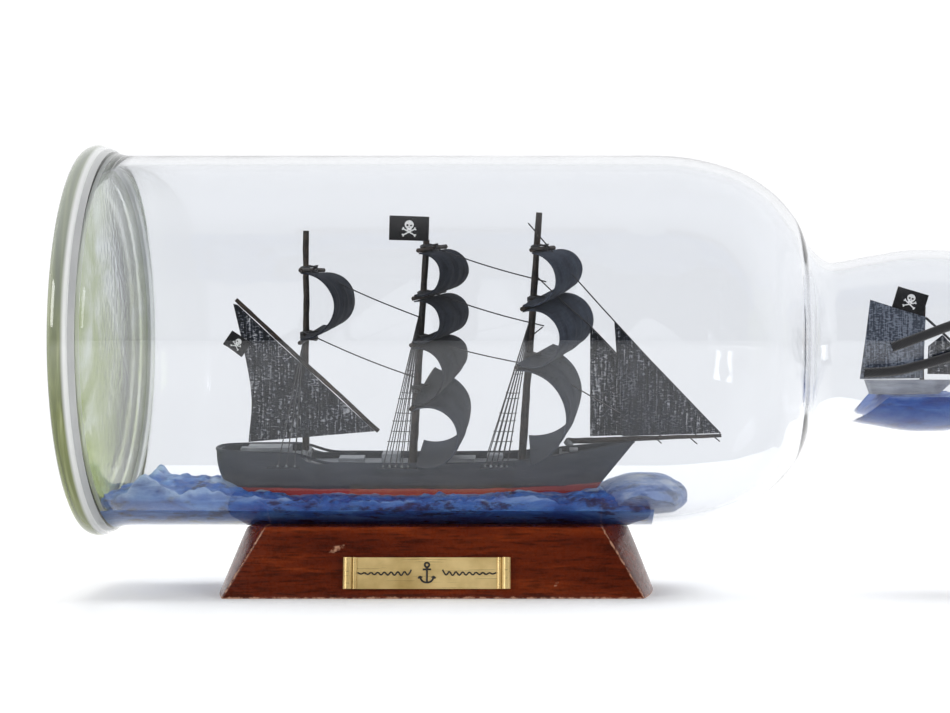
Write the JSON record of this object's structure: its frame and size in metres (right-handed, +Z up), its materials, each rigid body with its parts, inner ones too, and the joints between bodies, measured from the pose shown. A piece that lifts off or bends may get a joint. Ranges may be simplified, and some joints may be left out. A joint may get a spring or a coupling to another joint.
{
  "type": "ship in a bottle",
  "caption": "Three-masted sailing ship on a clay sea inside a clear glass bottle lying on a wooden stand, with a tiny ship in the bulb of the neck.",
  "frame": {"origin": "centre of the stand's underside", "axes": "+X along the bottle towards its mouth, +Z up, -Y towards the front with the nameplate"},
  "size_m": [0.28, 0.1094, 0.1243],
  "materials": {
    "lacquered_mahogany": "gloss lacquer",
    "nameplate_brass": "satin",
    "clear_glass": "polished",
    "green_glass": "polished",
    "cork": "matte",
    "black_cord": "matte",
    "sea_clay": "satin",
    "pale_clay": "satin",
    "hull_paint": "satin paint, red below",
    "deck_paint": "satin paint",
    "grey_paint": "satin paint",
    "spar_black": "satin stain",
    "sailcloth": "smooth dyed cloth",
    "open_sailcloth": "open weave",
    "neck_sailcloth": "open weave",
    "flag_cloth": "printed cloth",
    "rigging_thread": "waxed thread"
  },
  "bodies": {
    "stand": {"stand_block": "lacquered_mahogany", "nameplate": "nameplate_brass"},
    "bottle": {"bottle_shell": "clear_glass", "bottle_neck": "clear_glass", "bottle_foot": "green_glass", "neck_lashing": "black_cord", "neck_knot": "black_cord", "cord_tail_upper": "black_cord", "cord_tail_lower": "black_cord", "sea": "sea_clay", "bow_swell": "pale_clay", "neck_sea": "sea_clay", "hull": "hull_paint", "deck": "deck_paint", "mizzen_mast": "spar_black", "main_mast": "spar_black", "fore_mast": "spar_black", "bowsprit": "spar_black", "lateen_yard": "spar_black", "mizzen_upper_yard": "spar_black", "mizzen_lower_yard": "spar_black", "main_royal_yard": "spar_black", "main_topgallant_yard": "spar_black", "main_topsail_yard": "spar_black", "main_course_yard": "spar_black", "fore_topgallant_yard": "spar_black", "fore_topsail_yard": "spar_black", "fore_course_yard": "spar_black", "mizzen_topsail": "sailcloth", "main_royal": "sailcloth", "main_topgallant": "sailcloth", "main_topsail": "sailcloth", "main_course": "sailcloth", "fore_topgallant": "sailcloth", "fore_topsail": "sailcloth", "fore_course": "sailcloth", "spanker": "open_sailcloth", "outer_jib": "open_sailcloth", "inner_jib": "open_sailcloth", "main_flag": "flag_cloth", "mizzen_flag": "flag_cloth", "neck_flag": "flag_cloth", "mizzen_stays": "rigging_thread", "main_stays": "rigging_thread", "fore_stays": "rigging_thread", "mizzen_shrouds": "rigging_thread", "main_shrouds": "rigging_thread", "fore_shrouds": "rigging_thread", "neck_stay": "rigging_thread", "neck_hull": "grey_paint", "neck_mast": "spar_black", "neck_mainsail": "neck_sailcloth", "neck_jib": "sailcloth"},
    "cork": {"cork_stopper": "cork"}
  },
  "joints": [
    {"name": "bottle_lift", "type": "slide", "parent": "stand", "child": "bottle", "axis": [0, 0, 1], "range_m": [0, 0.05]},
    {"name": "cork_pull", "type": "slide", "parent": "bottle", "child": "cork", "axis": [1, 0, 0], "range_m": [0, 0.03]}
  ]
}
